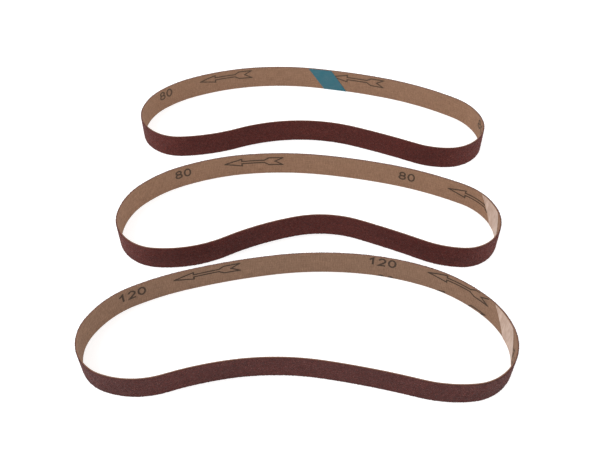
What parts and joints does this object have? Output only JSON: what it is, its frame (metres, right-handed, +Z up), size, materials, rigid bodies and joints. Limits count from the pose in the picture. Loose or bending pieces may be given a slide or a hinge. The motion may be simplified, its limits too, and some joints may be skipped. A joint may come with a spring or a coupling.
{
  "type": "abrasive sanding belt",
  "caption": "Narrow endless sanding belts for a belt file: cloth-backed loops standing on edge in a row, with taped slanted splices and abrasive grain outside.",
  "frame": {"origin": "middle of the set's footprint, on the surface that the belts stand on", "axes": "+Z up, along the belts' width; +X along the loops to the right; +Y from the front belt to the back belt"},
  "size_m": [0.1466, 0.1612, 0.01],
  "materials": {
    "backing_cloth": "matte",
    "make_resin": "satin",
    "coarse_grain": "matte",
    "fine_grain": "matte",
    "size_resin": "satin",
    "green_tape": "matte",
    "clear_tape": "gloss"
  },
  "bodies": {
    "front_belt": {"front_belt_cloth_backing": "backing_cloth", "front_belt_make_coat": "make_resin", "front_belt_abrasive_grain": "fine_grain", "front_belt_size_coat": "size_resin", "front_belt_splice_tape": "clear_tape"},
    "middle_belt": {"middle_belt_cloth_backing": "backing_cloth", "middle_belt_make_coat": "make_resin", "middle_belt_abrasive_grain": "coarse_grain", "middle_belt_size_coat": "size_resin", "middle_belt_splice_tape": "clear_tape"},
    "back_belt": {"back_belt_cloth_backing": "backing_cloth", "back_belt_make_coat": "make_resin", "back_belt_abrasive_grain": "coarse_grain", "back_belt_size_coat": "size_resin", "back_belt_splice_tape": "green_tape"}
  },
  "joints": [
    {"name": "middle_belt_lift", "type": "slide", "parent": "front_belt", "child": "middle_belt", "axis": [0, 0, 1], "range_m": [0, 0.06]},
    {"name": "back_belt_lift", "type": "slide", "parent": "front_belt", "child": "back_belt", "axis": [0, 0, 1], "range_m": [0, 0.06]}
  ]
}
